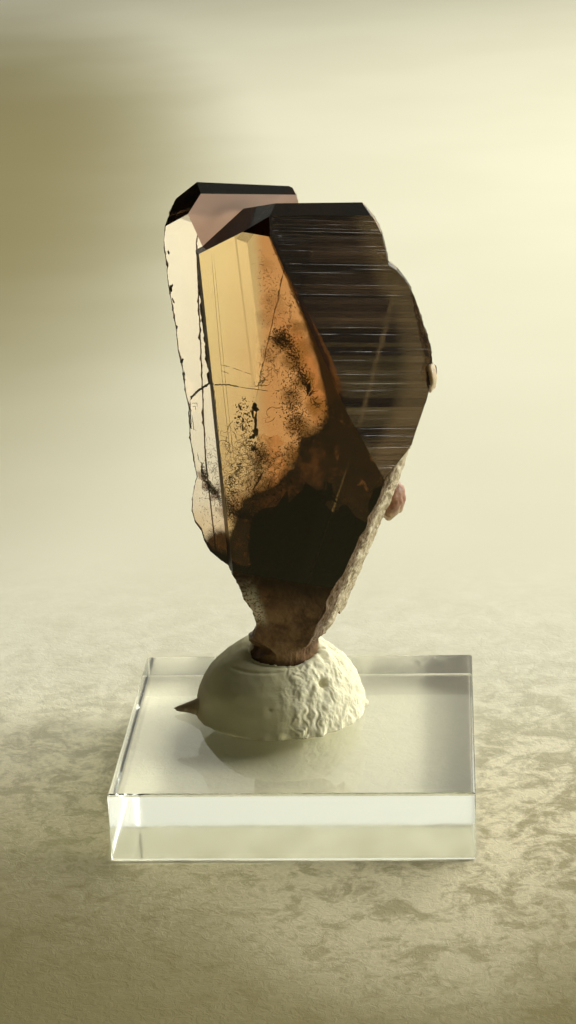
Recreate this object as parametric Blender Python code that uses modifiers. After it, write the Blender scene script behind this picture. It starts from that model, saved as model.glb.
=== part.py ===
"""Axinite crystal on its display base, a specimen about 55 mm tall.

Three pieces stand on each other: a clear acrylic block, a lump of mineral tack pressed onto
its top, and the crystal, two blades grown together side by side, with its broken foot pushed
into the tack. Units are metres. The origin is the centre of the block's underside, +Z is up
and -Y faces the front, the side with the clear window face.
"""
import math
import random

import bmesh
import bpy
from mathutils import Matrix, Quaternion, Vector

MM = 0.001
GAP = 0.3 * MM              # air left between pieces that touch

# Acrylic block
BASE_SIDE = 31.75 * MM      # 1 1/4 in
BASE_HEIGHT = 6.35 * MM     # 1/4 in
BASE_BEVEL = 0.22 * MM

# Lump of mineral tack
PUTTY_CENTRE = Vector((-2.0, 3.3, 6.35)) * MM
PUTTY_RADIUS = 7.85 * MM
PUTTY_HEIGHT = 7.0 * MM     # above the block
PUTTY_TAIL_TIP = Vector((-12.1, 2.1, 6.75)) * MM
PUTTY_TAIL_ROOT = Vector((-7.6, 2.6, 7.0)) * MM
PUTTY_TAIL_RADIUS = 1.9 * MM
PUTTY_FOLDS = 34            # stretched folds, counted all round
PUTTY_STRETCHED_SIDE = math.radians(-48)    # they show only here, on the front right
PUTTY_FOLD_DEPTH = 0.16 * MM

# Crystal: the front blade stands in front of the rear one and to its right
DEPTH_FRONT = -6.0 * MM     # the outlines are extruded between these two depths,
DEPTH_BACK = 12.0 * MM      # and then the named faces are cut
STUB_CENTRE = Vector((-1.4, 1.95)) * MM
STUB_HALF_WIDTH = 3.25 * MM
STUB_HALF_DEPTH = 2.55 * MM
STUB_BOTTOM = 9.6 * MM
STUB_TOP = 14.3 * MM
LEDGE_LENGTH = 17.0 * MM
LEDGE_DIP = math.radians(8.5)       # the ledges run down to the right
LEDGE_TAPER = math.radians(1.2)     # and start from nothing at the ridge

# Outlines seen from the front, as (x, z) in millimetres
FRONT_BLADE_OUTLINE = (
    (-7.8, 50.4), (-7.4, 52.6), (-2.9, 55.2), (5.40, 54.8), (6.75, 53.0), (7.60, 52.0),
    (8.20, 50.7), (8.55, 49.2), (8.75, 48.0), (9.50, 47.4), (10.40, 46.2), (11.10, 44.7),
    (11.70, 42.6), (12.25, 40.9), (12.50, 39.5), (12.55, 38.0), (11.95, 35.9), (10.95, 33.4),
    (10.15, 31.0), (9.20, 28.2), (7.75, 24.6), (6.40, 21.1), (5.30, 18.4), (4.55, 16.4),
    (3.40, 14.5), (2.60, 13.75), (-4.50, 13.75), (-3.90, 14.8), (-3.65, 15.8),
    (-4.00, 17.2), (-4.75, 18.3), (-5.20, 19.8), (-5.80, 20.9), (-6.80, 21.6), (-7.70, 22.4),
    (-8.15, 23.4), (-8.30, 24.6), (-7.80, 26.0),
)
REAR_BLADE_OUTLINE = (
    (-10.65, 51.0), (-10.50, 52.4), (-9.75, 54.2), (-8.2, 56.6), (-0.6, 56.4), (0.20, 54.6),
    (0.65, 53.9), (0.80, 53.3), (0.80, 51.0), (-0.5, 46.0), (-3.0, 36.0), (-4.4, 26.0),
    (-5.2, 19.9), (-5.85, 21.0), (-6.85, 21.7), (-7.75, 22.5), (-8.25, 23.5), (-8.45, 24.4),
    (-9.00, 25.2), (-9.27, 26.4), (-9.10, 27.9), (-8.66, 29.5), (-8.90, 31.3), (-9.13, 33.0),
    (-9.12, 36.1), (-9.30, 37.0), (-9.48, 39.3), (-9.85, 41.2), (-9.92, 43.1), (-10.15, 45.0),
    (-10.45, 47.2), (-10.55, 49.0),
)

# Named crystal faces: a point on the face (mm), then the way it faces, as degrees to the
# right of straight ahead and degrees above level. What lies outside a face is cut away.
FRONT_BLADE_FACES = {
    "window": ((-3.0, -0.40, 35.0), -6, 0),
    "striated": ((-1.23, -0.59, 51.75), 30, 13.3),
    "lower_facet": ((5.02, -1.24, 36.26), -1, -1.5),
    "left_bevel": ((-7.12, 0.03, 50.39), -61, 58.5),
    "top_bevel": ((-3.56, -0.34, 52.17), -3.5, 14),
    "top_band": ((-1.86, -0.43, 53.65), 39, 56),
    "top_back": ((-1.92, 0.89, 54.37), 189.4, 72),
    "left_step": ((-7.15, 0.03, 45.0), -68, -3.2),
    "back": ((-3.0, 7.0, 35.0), 174, 0),
    "right_back": ((12.3, 5.0, 38.0), 148, 4),
    "left_back": ((-10.75, 3.10, 50.0), 212, -3),
}
REAR_BLADE_FACES = {
    "side_window": ((-9.0, 1.30, 45.0), -6, 0),
    "smooth": ((-8.40, 1.24, 53.49), 30, 13.3),
    "left_bevel": ((-8.40, 1.24, 53.49), -37, 44),
    "top_band": ((-4.89, 3.59, 54.68), 40, 58),
    "top_back": ((-7.81, 3.51, 55.82), 203, 20),
    "back": ((-9.0, 8.3, 45.0), 174, 0),
    "left_back": ((-10.75, 3.00, 50.0), 212, -3),
}

# Broken faces, rough where the crystal snapped off its rock: the middle of the face (mm),
# the way it faces, and its breadth and height (mm)
BROKEN_RIM = {
    "rim": ((8.55, 2.2, 27.0), 65, -24, 15, 38),
}
BROKEN_BACK = {
    "foot": ((0.5, 5.6, 21.0), 181, -6.5, 20, 24),
    "lower_left": ((-6.3, 3.4, 20.3), 222, -24, 12, 13),
    "foot_right": ((1.5, 4.0, 14.2), 140, -42, 7, 4),
    "foot_left": ((-3.9, 3.9, 14.3), 222, -42, 7, 4),
    "foot_front": ((-4.1, 0.1, 14.3), -48, -42, 4, 3.4),
}
BREAK_CELL = 1.15           # size of the steps on a broken face, mm
BREAK_DEPTH = 0.22          # how far they rise and fall, mm

# Growth ledges across the striated face: height (mm) and breadth (mm)
LEDGES = (
    (52.1, 0.30), (50.9, 0.22), (49.7, 0.45), (48.3, 0.30), (46.9, 0.25), (45.6, 0.55),
    (44.2, 0.30), (43.0, 0.70), (41.6, 0.40), (40.1, 0.55), (38.4, 0.30), (36.6, 0.45),
)

# Two small grown-on knobs and a lump above the foot: centre and half sizes, mm
KNOBS = (
    ((11.75, 4.9, 37.75), (1.15, 0.95, 1.65)),
    ((8.25, 5.1, 26.15), (1.50, 1.25, 1.95)),
    ((0.20, 2.1, 14.9), (1.80, 2.10, 2.00)),
)
EDGE_CHIPS = 19
CHIP_TOP = Vector((-10.75, 1.5, 50.6)) * MM
CHIP_FOOT = Vector((-9.25, 1.4, 30.6)) * MM


def clear_scene():
    for old in list(bpy.data.objects):
        bpy.data.objects.remove(old, do_unlink=True)


def new_collection(name):
    collection = bpy.data.collections.new(name)
    bpy.context.scene.collection.children.link(collection)
    return collection


def place_in(collection, obj):
    for user in list(obj.users_collection):
        user.objects.unlink(obj)
    collection.objects.link(obj)


def set_material(obj, name, colour, roughness, transmission=0.0, ior=1.45):
    material = bpy.data.materials.new(name)
    material.use_nodes = True
    shader = material.node_tree.nodes["Principled BSDF"]
    shader.inputs["Base Color"].default_value = (*colour, 1.0)
    shader.inputs["Metallic"].default_value = 0.0
    shader.inputs["Roughness"].default_value = roughness
    shader.inputs["Transmission Weight"].default_value = transmission
    shader.inputs["IOR"].default_value = ior
    obj.data.materials.clear()
    obj.data.materials.append(material)


def facing(degrees_right, degrees_up):
    right, up = math.radians(degrees_right), math.radians(degrees_up)
    return Vector((math.sin(right) * math.cos(up), -math.cos(right) * math.cos(up), math.sin(up)))


def outline_prism(name, outline, collection):
    """Extrude a front-view outline from DEPTH_FRONT to DEPTH_BACK as a closed mesh."""
    curve = bpy.data.curves.new(name + "_outline", "CURVE")
    curve.dimensions = "2D"
    curve.fill_mode = "BOTH"
    curve.extrude = (DEPTH_BACK - DEPTH_FRONT) / 2
    spline = curve.splines.new("POLY")
    spline.points.add(len(outline) - 1)
    for point, (x, z) in zip(spline.points, outline):
        point.co = (x * MM, z * MM, 0, 1)
    spline.use_cyclic_u = True
    flat = bpy.data.objects.new(name + "_outline", curve)
    flat.rotation_euler = (math.radians(90), 0, 0)
    flat.location.y = (DEPTH_FRONT + DEPTH_BACK) / 2
    collection.objects.link(flat)
    bpy.context.view_layer.update()
    evaluated = flat.evaluated_get(bpy.context.evaluated_depsgraph_get())
    mesh = bpy.data.meshes.new_from_object(evaluated)
    mesh.transform(flat.matrix_world)
    bpy.data.objects.remove(flat, do_unlink=True)
    bm = bmesh.new()
    bm.from_mesh(mesh)
    bmesh.ops.remove_doubles(bm, verts=bm.verts, dist=0.001 * MM)
    bmesh.ops.dissolve_limit(bm, angle_limit=math.radians(0.5), verts=bm.verts, edges=bm.edges)
    bmesh.ops.recalc_face_normals(bm, faces=bm.faces)
    bm.to_mesh(mesh)
    bm.free()
    prism = bpy.data.objects.new(name, mesh)
    collection.objects.link(prism)
    return prism


def cut_faces(obj, faces):
    """Cut each named plane face: what lies outside it goes, and the cut is closed flat."""
    bm = bmesh.new()
    bm.from_mesh(obj.data)
    for point, degrees_right, degrees_up in faces.values():
        cut = bmesh.ops.bisect_plane(
            bm, geom=bm.verts[:] + bm.edges[:] + bm.faces[:], dist=0.0001 * MM,
            plane_co=Vector(point) * MM, plane_no=facing(degrees_right, degrees_up),
            clear_outer=True)
        rim = [item for item in cut["geom_cut"] if isinstance(item, bmesh.types.BMEdge)]
        bmesh.ops.edgenet_fill(bm, edges=rim)
        bmesh.ops.remove_doubles(bm, verts=bm.verts, dist=0.002 * MM)
    bmesh.ops.recalc_face_normals(bm, faces=bm.faces)
    bm.to_mesh(obj.data)
    bm.free()


def boolean(obj, operation, tool):
    """Join or cut with one object, or with every object of a collection."""
    modifier = obj.modifiers.new(operation.title(), "BOOLEAN")
    modifier.operation = operation
    modifier.solver = "EXACT"
    if isinstance(tool, bpy.types.Collection):
        modifier.operand_type = "COLLECTION"
        modifier.collection = tool
    else:
        modifier.object = tool


def shaping_tool(obj, collection):
    obj.hide_render = True
    obj.display_type = "WIRE"
    place_in(collection, obj)


def lump(name, centre, half_sizes, collection, rng, roughness=0.12):
    """A small angular lump: an icosphere with its corners moved a little."""
    bm = bmesh.new()
    bmesh.ops.create_icosphere(bm, subdivisions=2, radius=1.0)
    for vert in bm.verts:
        vert.co *= 1.0 + rng.uniform(-roughness, roughness)
        vert.co = Vector(size * value for size, value in zip(half_sizes, vert.co)) + centre
    mesh = bpy.data.meshes.new(name)
    bm.to_mesh(mesh)
    bm.free()
    obj = bpy.data.objects.new(name, mesh)
    shaping_tool(obj, collection)
    return obj


def rough_cutter(name, face, collection, rng):
    """A block whose inner side is broken into small uneven steps, lying in a broken face."""
    point, degrees_right, degrees_up, breadth, height = face
    outward = facing(degrees_right, degrees_up)
    along = Vector((0, 0, 1)).cross(outward).normalized()
    turn = Matrix((along, outward.cross(along), outward)).transposed().to_4x4()
    bm = bmesh.new()
    bmesh.ops.create_grid(bm, x_segments=round(breadth / BREAK_CELL),
                          y_segments=round(height / BREAK_CELL), size=0.5)
    for vert in bm.verts:
        jitter = Vector((rng.uniform(-0.3, 0.3), rng.uniform(-0.3, 0.3), 0)) * BREAK_CELL
        vert.co = Vector((vert.co.x * breadth, vert.co.y * height, 0)) + jitter
        vert.co.z = rng.uniform(-BREAK_DEPTH, BREAK_DEPTH)
    raised = bmesh.ops.extrude_face_region(bm, geom=bm.faces[:])
    for item in raised["geom"]:
        if isinstance(item, bmesh.types.BMVert):
            item.co.z = breadth / 2
    bmesh.ops.recalc_face_normals(bm, faces=bm.faces)
    mesh = bpy.data.meshes.new(name)
    bm.to_mesh(mesh)
    bm.free()
    mesh.transform(Matrix.Translation(Vector(point) * MM) @ turn @ Matrix.Scale(MM, 4))
    obj = bpy.data.objects.new(name, mesh)
    shaping_tool(obj, collection)
    return obj


def elliptic_cone(name, centre, half_width, half_depth, bottom, top, collection):
    """The crystal's foot, an upright elliptic cylinder a little narrower at the bottom."""
    bpy.ops.mesh.primitive_cone_add(
        vertices=28, radius1=0.9, radius2=1.0, depth=top - bottom,
        location=(centre.x, centre.y, (top + bottom) / 2))
    obj = bpy.context.object
    obj.name = name
    obj.data.transform(Matrix.Diagonal((half_width, half_depth, 1.0, 1.0)))
    shaping_tool(obj, collection)
    return obj


def ledge_cutters(collection):
    """Long thin boxes lying in the striated face, each cutting one ledge from the ridge on."""
    point, degrees_right, degrees_up = FRONT_BLADE_FACES["striated"]
    normal = facing(degrees_right, degrees_up)
    ridge = normal.cross(facing(*FRONT_BLADE_FACES["window"][1:])).normalized()
    along = Vector((0, 0, 1)).cross(normal).normalized()
    along.rotate(Quaternion(normal, -LEDGE_DIP))
    for number, (height, breadth) in enumerate(LEDGES):
        root = Vector(point) * MM
        root += ridge * (height * MM - root.z) / ridge.z
        up = normal.cross(along)
        outward = normal.copy()
        outward.rotate(Quaternion(up, LEDGE_TAPER))
        turn = Matrix((up.cross(outward), up, outward)).transposed().to_4x4()
        bpy.ops.mesh.primitive_cube_add(size=1.0)
        cutter = bpy.context.object
        cutter.name = f"ledge_cutter_{number}"
        cutter.data.transform(Matrix.Translation((0, 0, 0.5)))
        cutter.data.transform(Matrix.Diagonal((2 * LEDGE_LENGTH, breadth * MM, 1.0 * MM, 1.0)))
        cutter.data.transform(Matrix.Translation(root) @ turn)
        shaping_tool(cutter, collection)


def make_base(parts):
    bpy.ops.mesh.primitive_cube_add(size=1.0, location=(0, 0, BASE_HEIGHT / 2))
    base = bpy.context.object
    base.name = "acrylic_base"
    base.data.transform(Matrix.Diagonal((BASE_SIDE, BASE_SIDE, BASE_HEIGHT, 1.0)))
    bevel = base.modifiers.new("Polished edges", "BEVEL")
    bevel.width = BASE_BEVEL
    bevel.segments = 2
    place_in(parts, base)
    set_material(base, "clear_acrylic", (0.97, 0.98, 0.96), 0.03, 1.0, 1.49)
    return base


def make_putty(parts, tools):
    """A dome of tack, folded where it was stretched, drawn out to a point on the left."""
    bpy.ops.mesh.primitive_uv_sphere_add(segments=72, ring_count=28, radius=1.0)
    putty = bpy.context.object
    putty.name = "putty_mount"
    bm = bmesh.new()
    bm.from_mesh(putty.data)
    for vert in bm.verts:
        around = math.atan2(vert.co.y, vert.co.x)
        level = max(vert.co.z, -0.4)
        stretched = max(0.0, math.cos(around - PUTTY_STRETCHED_SIDE)) ** 1.5
        fold = math.sin(around * PUTTY_FOLDS + 2.2 * level) * math.sin(math.pi * (1 - abs(level)))
        swell = 1.0 + 0.018 * math.sin(2 * around + 0.6) + 0.012 * math.sin(5 * around)
        reach = PUTTY_RADIUS * swell + PUTTY_FOLD_DEPTH * fold * stretched
        vert.co.x *= reach
        vert.co.y *= reach
        vert.co.z = level * PUTTY_HEIGHT
    bm.to_mesh(putty.data)
    bm.free()
    putty.location = PUTTY_CENTRE
    place_in(parts, putty)

    run = PUTTY_TAIL_TIP - PUTTY_TAIL_ROOT
    bpy.ops.mesh.primitive_cone_add(
        vertices=20, radius1=PUTTY_TAIL_RADIUS, radius2=0.12 * MM, depth=run.length,
        location=(PUTTY_TAIL_TIP + PUTTY_TAIL_ROOT) / 2,
        rotation=run.to_track_quat("Z", "Y").to_euler())
    tail = bpy.context.object
    tail.name = "putty_tail"
    shaping_tool(tail, tools)
    boolean(putty, "UNION", tail)

    bpy.ops.mesh.primitive_cube_add(size=1.0, location=(0, 0, 0))
    under = bpy.context.object
    under.name = "putty_underside_cutter"
    depth = BASE_HEIGHT + GAP
    under.data.transform(Matrix.Diagonal((2 * BASE_SIDE, 2 * BASE_SIDE, 2 * depth, 1.0)))
    shaping_tool(under, tools)
    boolean(putty, "DIFFERENCE", under)

    socket = elliptic_cone(
        "socket_cutter", STUB_CENTRE, STUB_HALF_WIDTH + 1.3 * GAP, STUB_HALF_DEPTH + 1.3 * GAP,
        STUB_BOTTOM - GAP, STUB_TOP + 2 * GAP, tools)
    boolean(putty, "DIFFERENCE", socket)
    set_material(putty, "mineral_tack", (0.62, 0.62, 0.46), 0.8)
    for polygon in putty.data.polygons:
        polygon.use_smooth = True
    return putty


def make_crystal(parts, broken, joined, carved):
    """Both blades, the foot and the knobs as one solid, with its ledges, breaks and chips."""
    rng = random.Random(11)
    crystal = outline_prism("axinite_crystal", FRONT_BLADE_OUTLINE, parts)
    cut_faces(crystal, FRONT_BLADE_FACES)
    for name, face in BROKEN_RIM.items():
        rough_cutter(name + "_cutter", face, broken, rng)
    boolean(crystal, "DIFFERENCE", broken)

    rear = outline_prism("rear_blade", REAR_BLADE_OUTLINE, parts)
    cut_faces(rear, REAR_BLADE_FACES)
    shaping_tool(rear, joined)
    elliptic_cone("crystal_foot", STUB_CENTRE, STUB_HALF_WIDTH, STUB_HALF_DEPTH,
                  STUB_BOTTOM, STUB_TOP, joined)
    for number, (centre, half_sizes) in enumerate(KNOBS):
        lump(f"knob_{number}", Vector(centre) * MM, Vector(half_sizes) * MM, joined, rng)
    boolean(crystal, "UNION", joined)

    ledge_cutters(carved)
    for name, face in BROKEN_BACK.items():
        rough_cutter(name + "_cutter", face, carved, rng)
    for number in range(EDGE_CHIPS):
        share = (number + rng.uniform(0.1, 0.9)) / EDGE_CHIPS
        centre = CHIP_TOP.lerp(CHIP_FOOT, share) + Vector((-0.25, rng.uniform(-0.1, 0.6), 0)) * MM
        size = Vector((rng.uniform(0.25, 0.5), 0.7, rng.uniform(0.25, 0.55))) * MM
        lump(f"edge_chip_{number}", centre, size, carved, rng, roughness=0.25)
    boolean(crystal, "DIFFERENCE", carved)
    set_material(crystal, "brown_axinite", (0.36, 0.19, 0.09), 0.06, 0.7, 1.68)
    return crystal


clear_scene()
part_collection = new_collection("axinite_specimen")
cutter_collection = new_collection("cutters")
broken_collection = new_collection("broken_from_front_blade")
joined_collection = new_collection("joined_to_front_blade")
carved_collection = new_collection("carved_from_crystal")
make_base(part_collection)
make_putty(part_collection, cutter_collection)
make_crystal(part_collection, broken_collection, joined_collection, carved_collection)
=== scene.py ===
"""The finish of an axinite crystal specimen on its display base.

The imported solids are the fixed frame. Each section below makes one piece: its sizes and
colours, its mesh, its material, and what it rides on. Lengths are metres; the numbers
written in millimetres are multiplied by MM.
"""

import math
import random
from functools import partialmethod

import bmesh
import bpy
from mathutils import Matrix, Vector, geometry
from mathutils.noise import noise


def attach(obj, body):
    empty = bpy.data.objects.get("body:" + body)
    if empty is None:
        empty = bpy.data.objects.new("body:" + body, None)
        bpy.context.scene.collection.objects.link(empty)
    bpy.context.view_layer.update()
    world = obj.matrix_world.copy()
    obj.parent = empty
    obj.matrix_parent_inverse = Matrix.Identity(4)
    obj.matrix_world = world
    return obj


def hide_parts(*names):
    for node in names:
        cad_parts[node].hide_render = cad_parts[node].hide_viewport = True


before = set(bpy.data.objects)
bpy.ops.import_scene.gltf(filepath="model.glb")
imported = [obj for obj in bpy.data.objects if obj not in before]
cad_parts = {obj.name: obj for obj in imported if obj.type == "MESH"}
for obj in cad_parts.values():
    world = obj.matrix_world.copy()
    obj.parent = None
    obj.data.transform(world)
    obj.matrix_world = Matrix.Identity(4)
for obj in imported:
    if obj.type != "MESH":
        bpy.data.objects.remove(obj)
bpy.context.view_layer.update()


# ---------------------------------------------------------------- camera
# A long lens a little above the crystal and slightly to its right, looking down at it.
# It is no part of the object. The two render values keep small glints from being lost.
MM = 0.001
CAMERA_PLACE = Vector((14.339, -219.169, 101.423)) * MM
CAMERA_YAW, CAMERA_PITCH, CAMERA_ROLL = (math.radians(a) for a in (3.872, 18.820, -1.877))
FRAME_HEIGHT = 36.0
LENS = 2600 / 1024 * FRAME_HEIGHT
CLIP_NEAR, CLIP_FAR = 0.005, 20.0
GLINT_CLAMP = 40


def add_object(name, data):
    """A new object that stands in the scene, at the origin."""
    obj = bpy.data.objects.new(name, data)
    bpy.context.scene.collection.objects.link(obj)
    return obj


ahead = Vector((-math.sin(CAMERA_YAW) * math.cos(CAMERA_PITCH),
                math.cos(CAMERA_YAW) * math.cos(CAMERA_PITCH), -math.sin(CAMERA_PITCH)))
level = Vector((math.cos(CAMERA_YAW), math.sin(CAMERA_YAW), 0))
upright = level.cross(ahead)
camera_right = math.cos(CAMERA_ROLL) * level + math.sin(CAMERA_ROLL) * upright
camera_up = math.cos(CAMERA_ROLL) * upright - math.sin(CAMERA_ROLL) * level
lens = bpy.data.cameras.new("specimen_camera")
lens.sensor_fit = "VERTICAL"
lens.sensor_height = FRAME_HEIGHT
lens.lens = LENS
lens.clip_start, lens.clip_end = CLIP_NEAR, CLIP_FAR
camera = add_object("specimen_camera", lens)
camera.matrix_world = (Matrix.Translation(CAMERA_PLACE)
                       @ Matrix((camera_right, camera_up, -ahead)).transposed().to_4x4())
scene = bpy.context.scene
scene.camera = camera
scene.view_settings.view_transform = "Standard"
scene.cycles.sample_clamp_indirect = GLINT_CLAMP
scene.cycles.blur_glossy = 0.0


# ---------------------------------------------------------------- floor and light
# A pale sheet under the block, lit softly from the right and from behind by two large lamps,
# with a small one aimed at the tack's right side. Its colour holds painted shade at the front
# and back left, a painted pool of light in front of the block, and painted light under the
# block. None of this is the object.
FLOOR_SIDE = 6.0
FLOOR_LEVEL = -0.06 * MM
FLOOR_PALE = (0.84, 0.82, 0.66, 1)
FLOOR_SHADE = (0.72, 0.695, 0.53, 1)
FLOOR_NEAR_PALE_IN_PAINTED_SHADE = (0.80, 0.73, 0.51, 1)
FLOOR_NEAR_DARK_IN_PAINTED_SHADE = (0.43, 0.38, 0.23, 1)
FLOOR_PAINTED_SHADE = (0.30, 0.262, 0.130, 1)
FLOOR_PAINTED_LIGHT_UNDER_BLOCK = (0.90, 0.86, 0.68, 1)
SKY_BRIGHT = (0.98, 0.96, 0.82, 1)
SKY_DIM = (0.045, 0.043, 0.031, 1)
LAMPS = (   # name, place, aimed at, side, watts, degrees it spreads
    ("right_softbox", (0.52, 0.15, 0.22), (0.0, 0.17, 0.04), 0.32, 0.95, 75),
    ("rear_softbox", (0.36, 0.58, 0.34), (0.10, 0.32, 0.0), 0.42, 0.95, 85),
    ("side_softbox", (0.40, -0.07, 0.28), (0.014, 0.012, 0.006), 0.16, 0.022, 30),
)
LAMP_COLOUR = (1.0, 0.985, 0.90)
SKY_TOWARDS = Vector((0.36, 0.92, 0.10)).normalized()
BLOTCH_STRENGTH, FIBRE_STRENGTH, FIBRE_RELIEF = 6.0, 1.8, 0.3
# These place the painted light under the block, the painted pool of light in front of it, and the
# painted shade at the front and at the back left.
PAINTED_LIGHT_UNDER_BLOCK_REACH = 16.6          # mm from the middle to where the floor under the block ends
PAINTED_LIGHT_POOL_PLACE = (11, -27)      # mm, the middle of the lighter patch in front of the block
FRONT_PAINTED_SHADE_RANGE = (6.0, 48.0)    # mm forward of the middle where the front goes dim
LEFT_PAINTED_SHADE_PLACE = (-85, 270, 290)     # mm, where the dim part at the back left lies


class Wire:
    """One socket of a node tree. Arithmetic on wires adds the Math nodes that do it."""

    def __init__(self, tree, socket):
        self.tree, self.socket = tree, socket

    def node(self, kind, settings=None, sockets=None, out=0):
        return add_node(self.tree, kind, settings, sockets, out)

    def maths(self, operation, other=0.0):
        return self.node("ShaderNodeMath", {"operation": operation}, {0: self, 1: other})

    __add__ = __radd__ = partialmethod(maths, "ADD")
    __mul__ = __rmul__ = partialmethod(maths, "MULTIPLY")
    __sub__ = partialmethod(maths, "SUBTRACT")
    __truediv__ = partialmethod(maths, "DIVIDE")
    least = partialmethod(maths, "MINIMUM")
    most = partialmethod(maths, "MAXIMUM")
    size = partialmethod(maths, "ABSOLUTE")

    def __rsub__(self, other):
        return self.node("ShaderNodeMath", {"operation": "SUBTRACT"}, {0: other, 1: self})

    def square(self):
        return self * self

    def between(self, low, high):
        """0 where this is at low or beyond, 1 at high or beyond, and a smooth change between."""
        return self.node("ShaderNodeMapRange", {"interpolation_type": "SMOOTHSTEP"},
                         {0: self, 1: low, 2: high})

    def blend(self, first, second):
        """The first colour where this is 0 and the second where it is 1."""
        return self.node("ShaderNodeMix", {"data_type": "RGBA"}, {0: self, 6: first, 7: second},
                         out=2)


def add_node(tree, kind, settings=None, sockets=None, out=0):
    """A new node: its settings are made first, then each socket gets its value or its wire."""
    node = tree.nodes.new(kind)
    for name, value in (settings or {}).items():
        if name == "stops":
            ramp = node.color_ramp.elements
            while len(ramp) < len(value):
                ramp.new(1.0)
            for stop, (place, colour) in zip(ramp, value):
                stop.position, stop.color = place, colour
        else:
            setattr(node, name, value)
    for name, value in (sockets or {}).items():
        if isinstance(value, Wire):
            tree.links.new(value.socket, node.inputs[name])
        else:
            node.inputs[name].default_value = value
    return Wire(tree, node.outputs[out] if node.outputs else None)


def start_material(name):
    """A new material, its empty node tree, and the wire of its object coordinates in mm."""
    material = bpy.data.materials.new(name)
    material.use_nodes = True
    tree = material.node_tree
    tree.nodes.clear()
    place = add_node(tree, "ShaderNodeTexCoord", out="Object")
    return material, tree, add_node(tree, "ShaderNodeVectorMath", {"operation": "SCALE"},
                                    {0: place, "Scale": 1 / MM})


def finish_material(tree, sockets, depth_tint=None, density=None):
    """The surface that these sockets give, and where it is clear the colour of its depth."""
    ends = {"Surface": add_node(tree, "ShaderNodeBsdfPrincipled", None, sockets)}
    if depth_tint:
        ends["Volume"] = add_node(tree, "ShaderNodeVolumeAbsorption", None,
                                  {"Color": depth_tint, "Density": density})
    add_node(tree, "ShaderNodeOutputMaterial", None, ends)


def dress(mesh, *finishes):
    """The mesh is given these materials and no others."""
    mesh.materials.clear()
    for finish in finishes:
        mesh.materials.append(finish)


def axes_of(place):
    return [place.node("ShaderNodeSeparateXYZ", None, {0: place}, out=k) for k in range(3)]


def distance_along(place, direction):
    return place.node("ShaderNodeVectorMath", {"operation": "DOT_PRODUCT"},
                      {0: place, 1: direction}, out="Value")


def relief(height, strength, depth):
    """A bump that follows a pattern, this many mm deep."""
    return height.node("ShaderNodeBump", None,
                       {"Height": height, "Strength": strength, "Distance": depth * MM})


def grain(place, scale, detail=2.0, roughness=0.5, distortion=0.0):
    """Noise between 0 and 1 whose features are about 1 / scale millimetres across."""
    return place.node("ShaderNodeTexNoise", None,
                      {"Vector": place, "Scale": scale, "Detail": detail,
                       "Roughness": roughness, "Distortion": distortion})


floor_mesh = bpy.data.meshes.new("floor_sheet")
half = FLOOR_SIDE / 2
floor_mesh.from_pydata([(-half, -half, FLOOR_LEVEL), (half, -half, FLOOR_LEVEL),
                        (half, half, FLOOR_LEVEL), (-half, half, FLOOR_LEVEL)],
                       [], [(0, 1, 2, 3)])
floor = add_object("floor_sheet", floor_mesh)
paper_with_painted_light, tree, place = start_material("pale_paper_with_painted_light")
cloud = grain(place, 0.02, 2.0, 0.5).between(0.35, 0.65)
blotch = grain(place, 0.30, 5.0, 0.7, 0.6)
fibre = grain(place, 1.1, 4.0, 0.72, 0.8)
x, y, z = axes_of(place)
near = y.between(70.0, 0.0)
tone = near * ((blotch - 0.5) * BLOTCH_STRENGTH + (fibre - 0.5) * FIBRE_STRENGTH)
tone = cloud * 0.2 + 0.4 + tone
# painted shade: darker towards the front and the right front, lifted by a painted pool of light in
# front of the block, and darker at the back left
front_painted_shade = (0 - x * 0.5 - y + near * (blotch - 0.5) * 70).between(*FRONT_PAINTED_SHADE_RANGE)
# painted light: a pool of light in front of the block
painted_light_pool = (x - PAINTED_LIGHT_POOL_PLACE[0]).square() + (y - PAINTED_LIGHT_POOL_PLACE[1]).square()
right_painted_shade = x.between(15, 24) * (0 - y).between(8, 34)
front_painted_shade = front_painted_shade * (1 - painted_light_pool.between(330.0, 20.0) * 0.45) + right_painted_shade * 0.3
left_shade_x = x - LEFT_PAINTED_SHADE_PLACE[0] + (y - LEFT_PAINTED_SHADE_PLACE[1]) * 0.1
left_painted_shade = left_shade_x.square() / 3800 + (y - LEFT_PAINTED_SHADE_PLACE[2]).square() / 60000 + (cloud - 0.5) * 0.05
painted_shade = front_painted_shade.most(left_painted_shade.between(1.3, 0.0)).least(1.0)
# painted light: the floor under the clear block is painted lighter
painted_light_under_block = (PAINTED_LIGHT_UNDER_BLOCK_REACH - x.size()).between(0.0, 1.6) * (PAINTED_LIGHT_UNDER_BLOCK_REACH - y.size()).between(0.0, 1.6)
far_colour = tone.blend(FLOOR_SHADE, FLOOR_PALE)
# painted shade: the near floor is darker and yellower, with stronger blotches
near_colour_in_painted_shade = tone.blend(FLOOR_NEAR_DARK_IN_PAINTED_SHADE, FLOOR_NEAR_PALE_IN_PAINTED_SHADE)
paper_colour_with_painted_light = painted_shade.blend(y.between(40, -14).blend(far_colour, near_colour_in_painted_shade), FLOOR_PAINTED_SHADE)
finish_material(tree, {"Base Color": (painted_light_under_block * 0.9).blend(paper_colour_with_painted_light, FLOOR_PAINTED_LIGHT_UNDER_BLOCK),
                       "Roughness": 0.95, "Specular IOR Level": 0.1,
                       "Normal": relief(fibre * near, 0.3, FIBRE_RELIEF)})
dress(floor_mesh, paper_with_painted_light)

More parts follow.
